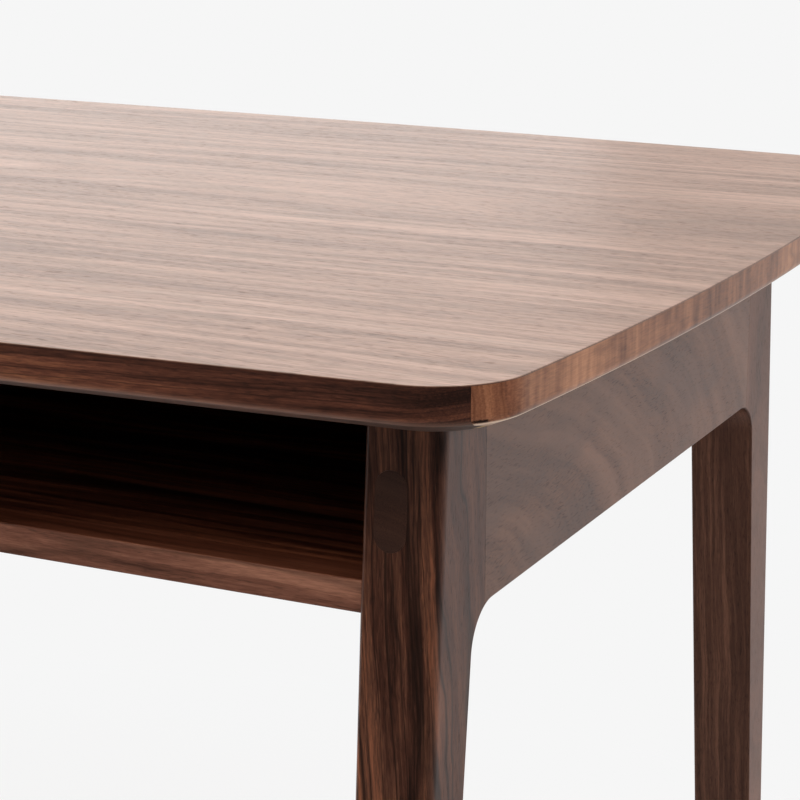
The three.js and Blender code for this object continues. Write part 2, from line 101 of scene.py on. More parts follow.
MAP_RANGE, MIX, MIX_SHADER = "ShaderNodeMapRange", "ShaderNodeMix", "ShaderNodeMixShader"
COORDINATES, LIGHT_PATH = "ShaderNodeTexCoord", "ShaderNodeLightPath"
BACKDROP, OUTPUT = "ShaderNodeBackground", "ShaderNodeOutputMaterial"


def colour(text):
    """An sRGB hex colour as linear RGBA."""
    parts = [int(text[i:i + 2], 16) / 255 for i in (1, 3, 5)]
    linear = [c / 12.92 if c <= 0.04045 else ((c + 0.055) / 1.055) ** 2.4 for c in parts]
    return (*linear, 1.0)


def add(tree, kind, inputs=(), out=0, stops=(), **settings):
    """Adds a node with its settings and links, and gives one of its outputs, or all of them where
    out is None. Inputs are listed in order or named in a dict. Each is a value, a socket, or a list
    of sockets where one input takes several. Stops are a colour ramp's places and hex colours."""
    made = tree.nodes.new(kind)
    for key, value in settings.items():
        setattr(made, key, value)
    for key, value in inputs.items() if isinstance(inputs, dict) else enumerate(inputs):
        for each in value if isinstance(value, list) else [value]:
            if isinstance(each, bpy.types.NodeSocket):
                tree.links.new(each, made.inputs[key])
            else:
                made.inputs[key].default_value = each
    for _ in stops[2:]:
        made.color_ramp.elements.new(0.5)
    for number, (position, shade) in enumerate(stops):
        element = made.color_ramp.elements[number]
        element.position, element.color = position, colour(shade)
    return made.outputs if out is None else made.outputs[out]


def empty_material(name):
    made = bpy.data.materials.new(name)
    made.use_nodes = True
    made.node_tree.nodes.clear()
    return made, made.node_tree


def rising(tree, place, way, low, high):
    """From 0 to 1 along a direction, between two distances."""
    reach = add(tree, VECTOR_MATH, (place, way), "Value", operation="DOT_PRODUCT")
    return add(tree, MAP_RANGE, (reach, low, high), interpolation_type="SMOOTHSTEP")


def paper_share(tree, path, direct, mirrored):
    """How much plain paper a ray sees, straight on or in a reflection."""
    clear = add(tree, MATH, (path["Is Camera Ray"], path["Is Transmission Ray"]),
                operation="MAXIMUM")
    straight = add(tree, MATH, (clear, direct), operation="MULTIPLY")
    gloss = add(tree, MATH, (path["Is Glossy Ray"], mirrored), operation="MULTIPLY")
    return add(tree, MATH, (straight, gloss), operation="MAXIMUM")


floor_material, tree = empty_material("studio_floor")
path = add(tree, LIGHT_PATH, out=None)
place = add(tree, COORDINATES, out="Object")
away = add(tree, VECTOR_MATH, (place,), "Value", operation="LENGTH")
direct = add(tree, MAP_RANGE, (away, SHADOW_NEAR, SHADOW_FAR, 1 - SHADOW_SHARE, 1.0),
             interpolation_type="SMOOTHSTEP")
mirrored = rising(tree, place, BACK_LEFT, MIRRORED_FROM, MIRRORED_FULL)
share = paper_share(tree, path, direct, mirrored)
lit_ahead = rising(tree, place, BACKWARDS, LIT_FROM, LIT_FULL)
lit = add(tree, MIX, {0: path["Is Glossy Ray"], 2: lit_ahead, 3: mirrored})
bright = add(tree, MATH, (path["Is Camera Ray"], lit), operation="MAXIMUM")
paper = add(tree, MIX, {0: bright, 6: colour(FLOOR_DIM), 7: colour(FLOOR_WHITE)}, 2,
            data_type="RGBA")
matt = add(tree, "ShaderNodeBsdfDiffuse", (paper,))
plain = add(tree, "ShaderNodeEmission", (colour(BACKGROUND), 1.0))
add(tree, OUTPUT, (add(tree, MIX_SHADER, (share, matt, plain)),), None)

floor_mesh = bmesh.new()
bmesh.ops.create_circle(floor_mesh, cap_ends=True, segments=FLOOR_SIDES, radius=FLOOR_RADIUS)
floor_data = bpy.data.meshes.new("studio_floor")
floor_mesh.to_mesh(floor_data)
floor_mesh.free()
floor_data.materials.append(floor_material)
floor = bpy.data.objects.new("studio_floor", floor_data)
scene.collection.objects.link(floor)

world = bpy.data.worlds.new("studio_room")
world.use_nodes = True
tree = world.node_tree
tree.nodes.clear()
way = add(tree, COORDINATES, out="Generated")
dimmed = add(tree, MATH, (rising(tree, way, UPWARDS, SKY_LOW, SKY_HIGH), -SKY_FALL, 1.0),
             operation="MULTIPLY_ADD")
ahead = add(tree, MATH, (rising(tree, way, BACKWARDS, SKY_FROM, SKY_FULL), dimmed),
            operation="MULTIPLY")
share = paper_share(tree, add(tree, LIGHT_PATH, out=None), 1.0, ahead)
room = add(tree, BACKDROP, (colour(ROOM_WHITE), ROOM_STRENGTH))
paper = add(tree, BACKDROP, (colour(BACKGROUND), 1.0))
add(tree, "ShaderNodeOutputWorld", (add(tree, MIX_SHADER, (share, room, paper)),), None)
scene.world = world

for name, place, target, width, depth, watts, tint, mirrored in LAMPS:
    lamp = bpy.data.lights.new("lamp_" + name, "AREA")
    lamp.shape = "RECTANGLE"
    lamp.size, lamp.size_y, lamp.energy = width, depth, watts
    lamp.color = colour(tint)[:3]
    lamp_object = bpy.data.objects.new("lamp_" + name, lamp)
    lamp_object.location = place
    aim = Vector(target) - Vector(place)
    lamp_object.rotation_euler = aim.to_track_quat("-Z", "Y").to_euler()
    lamp_object.visible_camera = False
    lamp_object.visible_glossy = mirrored
    scene.collection.objects.link(lamp_object)


# The top: a plywood core with solid walnut lippings glued on all round, and walnut veneer laid over
# both. All four sides are long shallow curves. The edge is planed to an upright band over a shallow
# bevel, and everything is sanded and given a satin lacquer.
HALF_LENGTH, HALF_DEPTH = 675, 325
LONG_RADIUS, SHORT_RADIUS, CORNER_RADIUS = 10500, 2800, 40
TOP_Z, UNDERSIDE_Z = 750, 729
VENEER = 0.6
CORE_X, CORE_Y = 650, 283
BAND_HEIGHT, BEVEL_WIDTH, LOWER_ARRIS = 15.4, 12.8, 4.4
TOP_ARRIS, FACE_INSET = 0.5, 3
LONG_STEPS, SHORT_STEPS, CORNER_STEPS, ARRIS_STEPS = 40, 24, 20, 8
LIPPING_GAP, CLOSE = 0.05, 1e-7
SHARP_FROM = 35
KNOT_PLACE, KNOT_SIZE, KNOT_COLOUR = (652.4, -291.3, 735.3), (4.6, 6.5, 1.0), "#140B07"
KNOT_RAGGED, KNOT_SHOWN = 0.9, (0.9, 1.5, 0.95, 0.0)
SIDES, ENDS = (("left", -1), ("right", 1)), (("front", -1), ("rear", 1))

# Walnut: the growth rings are wavering shells round the tree's heart, so boards, rounded edges and
# end grain all cut the same rings. Fine fibres run along the grain, and the pores show as short
# dark dashes. Real pores are about 0.2 wide. They are drawn 0.55 wide so that they show.
GRAIN_ALONG_X, GRAIN_ALONG_Y, GRAIN_ALONG_Z = (0, 0, 0), (0, 0, -90), (0, 90, 0)
PORE_LONG, PORE_WIDE, PORE_FROM, PORE_FULL = 5.0, 0.55, 0.58, 0.70
PALE_FROM, PALE_FULL, PALE_PORES = 0.40, 0.62, 0.4
FIBRE_LONG, FIBRE_ACROSS = 9.0, 0.6
RING_LINE, SWING = 0.04, 4
SAWN_FROM, SAWN_FULL = 0.5, 1.0
CLOUD_SIZE, CLOUD_FROM, CLOUD_FULL = (70, 30, 30), 0.42, 0.66
LEAF_SHIFT = (1000, 25, 25)
# an edge's painted light and shade is shared out between a bevel and the arris above it
BEVEL_FACE = (-0.90, -0.87, 0.4, 1.0)  # the bevel takes 0.4 of an edge's share, its arris all
END_GRAIN = ("MULTIPLY", 0.5, "#6B4A3C", 0.75, 0.95)
FIBRE_HIGH, RELIEF, RELIEF_DEEP = 0.25, 0.3, 0.12
PORE_ROUGH, ROUGH_EITHER_WAY = 0.2, 0.04
WALNUT_IOR = 1.48
NOISE_MIDDLE, NOISE_LOW, NOISE_HIGH = 0.5, 0.3, 0.7
NOISE, RAMP, MAPPING = "ShaderNodeTexNoise", "ShaderNodeValToRGB", "ShaderNodeMapping"
SEPARATE, COMBINE = "ShaderNodeSeparateXYZ", "ShaderNodeCombineXYZ"


def patches(tree, place, lengths, move=(0, 0, 0), kind=NOISE, out=0, **inputs):
    """A pattern whose patches have these lengths in millimetres, moved by whole patches."""
    sizes = tuple(1 / (length * MM) for length in lengths)
    spot = add(tree, VECTOR_MATH, (place, sizes, move), operation="MULTIPLY_ADD")
    return add(tree, kind, {"Vector": spot, "Scale": 1.0, **inputs}, out)


def coated(tree, shade, rough, height, strength, depth, looks):
    """Ends a material with its colour, roughness and a relief whose depth is in millimetres."""
    bump = add(tree, "ShaderNodeBump",
               {"Strength": strength, "Distance": depth * MM, "Height": height})
    skin = add(tree, "ShaderNodeBsdfPrincipled",
               {"Base Color": shade, "Roughness": rough, "Normal": bump, **looks})
    add(tree, OUTPUT, (skin,), None)


def walnut(name, tones, turn, *, heart, ring, streak, waver, line, pores, seed, tilt=(0, 0, 0),
           lean=(0, 0), busy=0.62, waver_long=260, waver_across=45, line_gap=12,
           line_colour="#4A3328", fibre=0.3, pore_colour="#1E120C", coarse=1.0, figure=None,
           cast=None, end=END_GRAIN, edge=None, knot=None, calm=0.0, roughness=0.42,
           specular=0.5, leaf=0):
    """Satin lacquered walnut, with lengths in millimetres. Turn brings the grain onto the pattern's
    X and lean moves the tree's heart aside for each unit of length. Ring and line_gap are the gaps
    of the rings and of their dark ends, and streak, waver_long and waver_across are how far these
    run. Figure is a share and the three lengths of the curl, and cast is a colour and its share.
    End and edge are a blend, a share, a colour and the two slopes between which it comes in, on end
    grain or by how far the surface looks up. Calm is how much of the pattern is lost on faces
    towards X, which are sawn flat to the rings. Leaf is a veneer leaf's width. Knot is a place."""
    made, tree = empty_material(name)
    where = add(tree, COORDINATES, out=None)
    grain = where["Object"]
    for angles in (tilt, turn):
        grain = add(tree, MAPPING,
                    {"Vector": grain, "Rotation": tuple(math.radians(a) for a in angles)})
    if leaf:
        aside = add(tree, SEPARATE, (grain,), "Y")
        count = add(tree, MATH, (aside, 1 / (leaf * MM)), operation="MULTIPLY")
        number = add(tree, MATH, (count,), operation="FLOOR")
        chance = add(tree, "ShaderNodeTexWhiteNoise", {"W": number}, 1, noise_dimensions="1D")
        grain = add(tree, VECTOR_MATH, (chance, tuple(c * MM for c in LEAF_SHIFT), grain),
                    operation="MULTIPLY_ADD")

    # the rings waver slowly along the board; each pattern has its own place in the noise
    slow = patches(tree, grain, (waver_long, waver_across, waver_across), (seed, 3.1, 7.7), out=1,
                   Detail=3.0)
    sway = add(tree, VECTOR_MATH, (slow, (NOISE_MIDDLE,) * 3), operation="SUBTRACT")
    swing = SWING * waver * MM
    wood = add(tree, VECTOR_MATH, (sway, (0, swing, swing), grain), operation="MULTIPLY_ADD")
    along = add(tree, SEPARATE, (wood,))
    leaned = add(tree, VECTOR_MATH, (along, (0, -lean[0], -lean[1]), wood),
                 operation="MULTIPLY_ADD")
    across = add(tree, VECTOR_MATH, (leaned, (0, 1, 1), (0, -heart[0] * MM, -heart[1] * MM)),
                 operation="MULTIPLY_ADD")
    radius = add(tree, VECTOR_MATH, (across,), "Value", operation="LENGTH")
    rings = add(tree, COMBINE, [add(tree, MATH, (reach, 1 / (gap * MM)), operation="MULTIPLY")
                                for reach, gap in ((radius, ring), (along, streak))] + [seed])
    bands = add(tree, NOISE, {"Vector": rings, "Scale": 1.0, "Detail": 5.0, "Roughness": busy})

    # thin dark lines where a ring ends, from another stretch of the same noise
    spot = add(tree, VECTOR_MATH, (rings, (ring / line_gap, 0.8, 1), (9, 5, 2)),
               operation="MULTIPLY_ADD")
    drawn = add(tree, NOISE, {"Vector": spot, "Scale": 1.0, "Detail": 1.5})
    ridge = add(tree, MATH, (drawn, NOISE_MIDDLE), operation="SUBTRACT")
    ridge = add(tree, MATH, (ridge,), operation="ABSOLUTE")
    ring_line = add(tree, MAP_RANGE, (ridge, 0.0, RING_LINE, 1.0, 0.0))
    ring_line = add(tree, MATH, (ring_line, line), operation="MULTIPLY")

    # fibres and pores, with fewer pores in the pale bands
    fibres = patches(tree, wood, (FIBRE_LONG, FIBRE_ACROSS, FIBRE_ACROSS), (0, seed, 0),
                     Scale=1 / coarse, Detail=3.0, Roughness=0.6)
    grooves = patches(tree, wood, (PORE_LONG, PORE_WIDE, PORE_WIDE), (seed, 5, 0),
                      Scale=1 / coarse, Detail=1.0)
    pore = add(tree, MAP_RANGE, (grooves, PORE_FROM, PORE_FULL))
    for share in (add(tree, MAP_RANGE, (bands, PALE_FROM, PALE_FULL, 1.0, PALE_PORES)), pores):
        pore = add(tree, MATH, (pore, share), operation="MULTIPLY")

    # tone, from the rings, the fibres and the light caught by curled figure
    tone = bands
    waves = [(fibres, fibre)]
    if figure:
        waves.append((patches(tree, wood, figure[1:], (seed, 1, 4), Detail=2.0), figure[0]))
    for wave, share in waves:
        part = add(tree, MATH, (wave, NOISE_MIDDLE), operation="SUBTRACT")
        part = add(tree, MATH, (part, share), operation="MULTIPLY")
        tone = add(tree, MATH, (tone, part), operation="ADD")
    if calm:
        sideways = add(tree, SEPARATE, (where["Normal"],))
        sideways = add(tree, MATH, (sideways,), operation="ABSOLUTE")
        loss = add(tree, MAP_RANGE, (sideways, SAWN_FROM, SAWN_FULL, 0.0, calm))
        part = add(tree, MATH, (tone, NOISE_MIDDLE), operation="SUBTRACT")
        part = add(tree, MATH, (part, loss), operation="MULTIPLY")
        tone = add(tree, MATH, (tone, part), operation="SUBTRACT")

    # colours laid over the tones: clouds of a cooler cast, ring ends, pores, end grain, which soaks
    # up the lacquer, the edge's faces and the knot. The edge layer is painted light and shade, by
    # how far a face looks up, and on the end lippings the end layer is a painted highlight, not end
    # grain
    layers = []
    if cast:
        clouds = patches(tree, wood, CLOUD_SIZE, (seed, 8, 2), Detail=2.0)
        shown = add(tree, MAP_RANGE, (clouds, CLOUD_FROM, CLOUD_FULL, 0.0, cast[1]))
        layers.append(("MIX", shown, cast[0]))
    layers += [("MIX", ring_line, line_colour), ("MIX", pore, pore_colour)]
    ahead = Matrix.Rotation(math.radians(-turn[1]), 3, "Y") @ Vector((1, 0, 0))
    ahead = Matrix.Rotation(math.radians(-turn[2]), 3, "Z") @ ahead
    facing = add(tree, VECTOR_MATH, (where["Normal"], tuple(ahead)), "Value",
                 operation="DOT_PRODUCT")
    facing = add(tree, MATH, (facing,), operation="ABSOLUTE")
    # end grain is darker; on the end lippings this layer instead paints a highlight where the curve
    # turns towards the front and back
    blend, share, tint, low, high = end
    layers.append((blend, add(tree, MAP_RANGE, (facing, low, high, 0.0, share)), tint))
    # the edge layer paints light and shade by how far a face looks up: a painted sheen on a bevel,
    # a painted highlight along a lower arris, painted shade on a face under the top, and on the top
    # veneer the arris and rim are darkened out of its painted sheen
    if edge:
        blend, share, tint, low, high = edge
        upward = add(tree, SEPARATE, (where["Normal"],), "Z")
        shown = [add(tree, MAP_RANGE, (upward, *ends))
                 for ends in ((low, high, 0.0, share), BEVEL_FACE)]
        layers.append((blend, add(tree, MATH, shown, operation="MULTIPLY"), tint))
    if knot:
        aside = add(tree, VECTOR_MATH, (where["Object"], tuple(c * MM for c in knot)),
                    operation="SUBTRACT")
        sized = add(tree, VECTOR_MATH, (aside, tuple(1 / (c * MM) for c in KNOT_SIZE)),
                    operation="MULTIPLY_ADD")
        reach = add(tree, VECTOR_MATH, (sized,), "Value", operation="LENGTH")
        ragged = add(tree, MATH, (fibres, KNOT_RAGGED), operation="MULTIPLY")
        ragged = add(tree, MATH, (reach, ragged), operation="ADD")
        layers.append(("MIX", add(tree, MAP_RANGE, (ragged, *KNOT_SHOWN)), KNOT_COLOUR))
    shade = add(tree, RAMP, (tone,), stops=tones)
    for blend, share, tint in layers:
        shade = add(tree, MIX, {0: share, 6: shade, 7: colour(tint)}, 2, data_type="RGBA",
                    blend_type=blend)

    raised = add(tree, MATH, (fibres, FIBRE_HIGH), operation="MULTIPLY")
    hollow = add(tree, MATH, (raised, pore), operation="SUBTRACT")
    dull = add(tree, MATH, (pore, PORE_ROUGH), operation="MULTIPLY")
    rough = add(tree, MAP_RANGE, (fibres, NOISE_LOW, NOISE_HIGH, roughness - ROUGH_EITHER_WAY,
                                  roughness + ROUGH_EITHER_WAY))
    rough = add(tree, MATH, (dull, rough), operation="ADD")
    coated(tree, shade, rough, hollow, RELIEF, RELIEF_DEEP,
           {"IOR": WALNUT_IOR, "Specular IOR Level": specular})
    return made


def piece_from(name, mesh, materials):
    """A piece whose place is in its points, so that its object stands at the origin."""
    data = bpy.data.meshes.new(name)
    mesh.to_mesh(data)
    mesh.free()
    for material in materials:
        data.materials.append(material)
    made = bpy.data.objects.new(name, data)
    scene.collection.objects.link(made)
    return made


def settle(piece):
    """Turns the modifiers' result into the piece's own plain mesh."""
    bpy.context.view_layer.update()
    graph = bpy.context.evaluated_depsgraph_get()
    data = bpy.data.meshes.new_from_object(piece.evaluated_get(graph), depsgraph=graph)
    old = piece.data
    piece.modifiers.clear()
    piece.data = data
    data.name = piece.name
    bpy.data.meshes.remove(old)
    return piece


def smooth(piece, sharp_from=SHARP_FROM):
    """Smooth shading over the eased edges, with the flat faces kept flat."""
    data = piece.data
    data.shade_smooth()
    data.set_sharp_from_angle(angle=math.radians(sharp_from))
    even = piece.modifiers.new("even", "WEIGHTED_NORMAL")
    even.keep_sharp = True
    even.mode = "FACE_AREA"
    even.weight = 100
    return settle(piece)


def finished(piece, slot, *nodes):
    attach(piece, "root")
    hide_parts(*nodes)


def arc(centre, radius, start, end, steps):
    turns = [start + (end - start) * i / steps for i in range(steps + 1)]
    return [(centre[0] + radius * math.cos(a), centre[1] + radius * math.sin(a)) for a in turns]


end_centre = (HALF_LENGTH - SHORT_RADIUS, 0)
long_centre = (0, HALF_DEPTH - LONG_RADIUS)


def corner_centre():
    """The centre of the arc that touches a long side's arc and an end's, from inside."""
    first, second = Vector(end_centre), Vector(long_centre)
    near, far = SHORT_RADIUS - CORNER_RADIUS, LONG_RADIUS - CORNER_RADIUS
    line = second - first
    apart = line.length
    along = (near ** 2 - far ** 2 + apart ** 2) / (2 * apart)
    aside = math.sqrt(near ** 2 - along ** 2)
    line.normalize()
    return first + line * along + Vector((-line.y, line.x)) * aside


corner = corner_centre()
end_turn = math.atan2(corner.y, corner.x - end_centre[0])
long_turn = math.atan2(corner.y - long_centre[1], corner.x)


def top_ring(inset, z):
    """The top's outline, drawn in by an inset, at a height."""
    quarter = arc(end_centre, SHORT_RADIUS - inset, 0, end_turn, SHORT_STEPS)[:-1]
    quarter += arc(corner, CORNER_RADIUS - inset, end_turn, long_turn, CORNER_STEPS)[:-1]
    quarter += arc(long_centre, LONG_RADIUS - inset, long_turn, math.pi / 2, LONG_STEPS)
    half = quarter + [(-x, y) for x, y in reversed(quarter[:-1])]
    whole = half + [(-x, -y) for x, y in half[1:-1]]
    return [Vector((x * MM, y * MM, z * MM)) for x, y in whole]


def loft(rings):
    """A closed mesh through level rings, listed from the lowest up."""
    mesh = bmesh.new()
    levels = [[mesh.verts.new(point) for point in ring] for ring in rings]
    count = len(levels[0])
    for low, high in zip(levels, levels[1:]):
        for i in range(count):
            j = (i + 1) % count
            mesh.faces.new((low[i], low[j], high[j], high[i]))
    mesh.faces.new(list(reversed(levels[0])))
    mesh.faces.new(levels[-1])
    bmesh.ops.recalc_face_normals(mesh, faces=mesh.faces)
    return mesh


def cut_away(mesh, point, outwards):
    """Cuts off what lies beyond a plane and closes the cut."""
    everything = mesh.verts[:] + mesh.edges[:] + mesh.faces[:]
    cut = bmesh.ops.bisect_plane(mesh, geom=everything, plane_co=Vector(point) * MM,
                                 plane_no=Vector(outwards), clear_outer=True, dist=CLOSE)
    rim = [e for e in cut["geom_cut"] if isinstance(e, bmesh.types.BMEdge) and e.is_boundary]
    bmesh.ops.edgeloop_fill(mesh, edges=rim)


def edge_profile():
    """Inset and height pairs of the edge, from the underside up to the veneer."""
    bevel_height = TOP_Z - UNDERSIDE_Z - BAND_HEIGHT
    turn = math.atan2(BEVEL_WIDTH, bevel_height)
    middle = UNDERSIDE_Z + bevel_height + LOWER_ARRIS * math.tan(turn / 2)
    pairs = [(BEVEL_WIDTH * (1 - VENEER / bevel_height), UNDERSIDE_Z + VENEER)]
    for i in range(ARRIS_STEPS, -1, -1):
        angle = turn * i / ARRIS_STEPS
        pairs.append((LOWER_ARRIS * (1 - math.cos(angle)), middle - LOWER_ARRIS * math.sin(angle)))
    pairs.append((0, TOP_Z - VENEER))
    return pairs


board_rings = [top_ring(inset, z) for inset, z in edge_profile()]

# dark heartwood with close lines; the bevel faces the dim floor, and a faint sheen is painted on it
# and on the rounded arris above it
edge_walnut = walnut(
    "front_lipping_walnut",
    ((0.33, "#2E1811"), (0.46, "#4E2B1E"), (0.56, "#673B2A"), (0.70, "#925D3F")),
    GRAIN_ALONG_X, heart=(-290, 690), ring=6, streak=260, waver=1.5, line=0.6, line_gap=4,
    line_colour="#20110B", pores=0.5, specular=0.4, roughness=0.46, fibre=0.35,
    edge=("MIX", 0.22, "#B5927F", -0.3, -0.8), seed=4.9)
# copper brown with a silky curl; the lacquer's shine where the curve turns towards the light is a
# painted highlight, and so is the pale line along the lower arris, which is fainter on the bevel
copper_walnut = walnut(
    "end_lipping_walnut",
    ((0.32, "#523528"), (0.45, "#754E3A"), (0.56, "#8B6047"), (0.70, "#A67658")),
    GRAIN_ALONG_Y, tilt=(0, 0, 3), heart=(600, 700), ring=7, streak=170, waver=2, busy=0.7,
    line=0.5, line_gap=5, line_colour="#4A2A1C", figure=(0.42, 5, 5, 24), pores=0.2,
    specular=0.16, roughness=0.34, end=("DODGE", 1.0, "#8A7466", 0.0, 0.34),
    edge=("MIX", 0.95, "#F0D8C0", -0.6, -0.84), knot=KNOT_PLACE, seed=1.7)

for side, sign in ENDS:
    mesh = loft(board_rings)
    cut_away(mesh, (0, sign * (CORE_Y + LIPPING_GAP), 0), (0, -sign, 0))
    cut_away(mesh, (CORE_X - LIPPING_GAP, 0, 0), (1, 0, 0))
    cut_away(mesh, (LIPPING_GAP - CORE_X, 0, 0), (-1, 0, 0))
    finished(smooth(piece_from(f"{side}_edge_lipping", mesh, [edge_walnut])),
             "dark_walnut_lipping", f"{side}_lipping")
for side, sign in SIDES:
    mesh = loft(board_rings)
    cut_away(mesh, (sign * (CORE_X + LIPPING_GAP), 0, 0), (-sign, 0, 0))
    finished(smooth(piece_from(f"{side}_end_lipping", mesh, [copper_walnut])),
             "copper_walnut_lipping", f"{side}_lipping")

# the veneer is laid in leaves side by side; its tones are pale, a painted sheen of the overhead
# light, and the edge layer darkens its arris and rim back to the wood's own colour. Its fibres are
# drawn coarser than real ones so that they show from the view's distance
top_walnut = walnut(
    "top_veneer_walnut",
    ((0.30, "#846656"), (0.45, "#9C7B69"), (0.56, "#AE8A77"), (0.72, "#C6A391")),
    GRAIN_ALONG_X, tilt=(0, 0, 0.3), heart=(70, 690), ring=9, streak=330, waver=6, waver_long=300,
    waver_across=60, line=0.3, line_colour="#6C5949", fibre=0.55, pores=0.7,
    pore_colour="#5C4538", coarse=1.5, figure=(0.16, 5, 2.2, 2.2), roughness=0.34, leaf=162,
    end=("MULTIPLY", 0.0, *END_GRAIN[2:]), edge=("MULTIPLY", 0.9, "#7A5C4C", 0.9, 0.4), seed=8.3)

face_rings = [top_ring(0, TOP_Z - VENEER)]
for i in range(ARRIS_STEPS + 1):
    angle = math.pi / 2 * i / ARRIS_STEPS
    face_rings.append(top_ring(TOP_ARRIS * (1 - math.cos(angle)),
                               TOP_Z - TOP_ARRIS * (1 - math.sin(angle))))
face_rings.append(top_ring(TOP_ARRIS + FACE_INSET, TOP_Z))
finished(smooth(piece_from("top_face_veneer", loft(face_rings), [top_walnut])), "walnut_veneer",
         "top_veneer")


def dress(node_name, material):
    """Gives a CAD node that is shown as it is its material."""
    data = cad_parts[node_name].data
    data.materials.clear()
    data.materials.append(material)


# the backing veneer under the top is dull, and its tones are darkened with painted shade, so that
# the shelf space under it stays dark
dress("top_backer_veneer", walnut(
    "underside_veneer_walnut",
    ((0.32, "#26160F"), (0.46, "#392219"), (0.56, "#482D21"), (0.70, "#5E4030")),
    GRAIN_ALONG_X, heart=(30, 860), ring=10, streak=320, waver=6, line=0.3, pores=0.5, seed=2.2,
    leaf=180))


# The two side frames, of solid walnut: each is a rail between two legs, flush outside and glued by
# a round-ended tenon right through each leg. The legs lean out and taper, their outer arrises are
# rounded over, and a rounded corner runs from each into the rail.
FRAME_OUT, FRAME_IN = 609, 572
JOINT_Y, LEG_LINE_Y, EAR_Y = 185.5, 235.5, 196.5
RAIL_Z, FOOT_Z = 623, 3
SPLAY, FOOT_WIDE, FOOT_THICK = 0.076, 18, 32.5
ARCH_RADIUS, ARCH_STEPS = 22, 24
LEG_ARRIS, ARCH_ARRIS, FOOT_ARRIS = 6.5, 1.0, 1.0
ARRIS_SEGMENTS = 9
TENON_X, TENON_Z = 586, 674
TENON_WIDE, TENON_HIGH = 15, 35
TENON_STEPS, TENON_REACH = 20, 300
CUT_INSIDE, CUT_OUTSIDE, CUT_BELOW, CUT_ABOVE, CUT_BACK = 500, 700, -50, 800, 400
GLUE_LINE = 0.06


def outer_y(z):
    """How far out a leg's outer edge stands at a height."""
    return LEG_LINE_Y + SPLAY * (RAIL_Z - z)


def arch_points(before, tip, after, radius, steps):
    """The rounded corner between two lines of the outline."""
    to_before, to_after = (before - tip).normalized(), (after - tip).normalized()
    opening = to_before.angle(to_after)
    centre = tip + (to_before + to_after).normalized() * (radius / math.sin(opening / 2))
    touch = radius / math.tan(opening / 2)
    first, last = (tip + way * touch - centre for way in (to_before, to_after))
    start = math.atan2(first.y, first.x)
    turn = math.atan2(last.y, last.x) - start
    sweep = math.atan2(math.sin(turn), math.cos(turn))
    return [Vector(p) for p in arc(centre, radius, start, start + sweep, steps)]


def side_frame(name):
    """A whole right-hand side frame, as one closed mesh with rounded arrises."""
    foot_out = outer_y(FOOT_Z)
    foot_in = foot_out - FOOT_WIDE
    arch = arch_points(Vector((foot_in, FOOT_Z)), Vector((EAR_Y, RAIL_Z)), Vector((0, RAIL_Z)),
                       ARCH_RADIUS, ARCH_STEPS)
    half = [Vector((outer_y(UNDERSIDE_Z), UNDERSIDE_Z)), Vector((LEG_LINE_Y, RAIL_Z)),
            Vector((foot_out, FOOT_Z)), Vector((foot_in, FOOT_Z))] + arch
    outline = half + [Vector((-p.x, p.y)) for p in reversed(half)]
    count, last = len(outline), len(half) - 1
    taper = (FRAME_OUT - FOOT_THICK - FRAME_IN) / (RAIL_Z - FOOT_Z)
    mesh = bmesh.new()
    weights = mesh.edges.layers.float.new("bevel_weight_edge")
    out = [mesh.verts.new(Vector((FRAME_OUT, p.x, p.y)) * MM) for p in outline]
    inner = [mesh.verts.new(Vector((FRAME_IN + taper * max(0, RAIL_Z - p.y), p.x, p.y)) * MM)
             for p in outline]
    # outside it is one flat face, and inside three: the rail with the legs' tops, and each leg
    mesh.faces.new(out)
    mesh.faces.new([inner[i] for i in (0, 1, last, last + 1, count - 2, count - 1)])
    mesh.faces.new(inner[1:last + 1])
    mesh.faces.new(inner[last + 1:count - 1])
    for i in range(count):
        j = (i + 1) % count
        mesh.faces.new((out[i], out[j], inner[j], inner[i]))
    bmesh.ops.recalc_face_normals(mesh, faces=mesh.faces)
    # the outline is listed down one leg and up the other, so the second half counts backwards
    for i in range(count - 1):
        place = i if i < last + 1 else count - 2 - i
        size = LEG_ARRIS if place < 2 else FOOT_ARRIS if place == 2 else ARCH_ARRIS
        for ring in (out, inner):
            mesh.edges.get((ring[i], ring[i + 1]))[weights] = size / LEG_ARRIS
    made = piece_from(name, mesh, [])
    round_over = made.modifiers.new("arrises", "BEVEL")
    round_over.limit_method = "WEIGHT"
    round_over.width = LEG_ARRIS * MM
    round_over.segments = ARRIS_SEGMENTS
    round_over.use_clamp_overlap = False
    return settle(made)


def block(name, low, high):
    """A box between two corners."""
    mesh = bmesh.new()
    size, middle = (Vector(high) - Vector(low)) * MM, (Vector(high) + Vector(low)) / 2 * MM
    bmesh.ops.create_cube(mesh, size=1,
                          matrix=Matrix.Translation(middle) @ Matrix.Diagonal(size.to_4d()))
    return piece_from(name, mesh, [])


def tenon_bar(name, grow):
    """A round-ended bar along Y, grown all round."""
    radius = TENON_WIDE / 2 + grow
    straight = (TENON_HIGH - TENON_WIDE) / 2
    ends = arc((TENON_X, TENON_Z + straight), radius, 0, math.pi, TENON_STEPS)
    ends += arc((TENON_X, TENON_Z - straight), radius, math.pi, 2 * math.pi, TENON_STEPS)
    rings = [[Vector((x, y, z)) * MM for x, z in reversed(ends)]
             for y in (-TENON_REACH, TENON_REACH)]
    return piece_from(name, loft(rings), [])


def shaped(name, base, steps, material):
    """A copy of a base mesh after boolean steps with other pieces."""
    made = bpy.data.objects.new(name, base.data.copy())
    scene.collection.objects.link(made)
    for operation, tool in steps:
        step = made.modifiers.new(operation, "BOOLEAN")
        step.operation, step.object, step.solver = operation, tool, "EXACT"
    settle(made)
    made.data.materials.clear()
    made.data.materials.append(material)
    return made


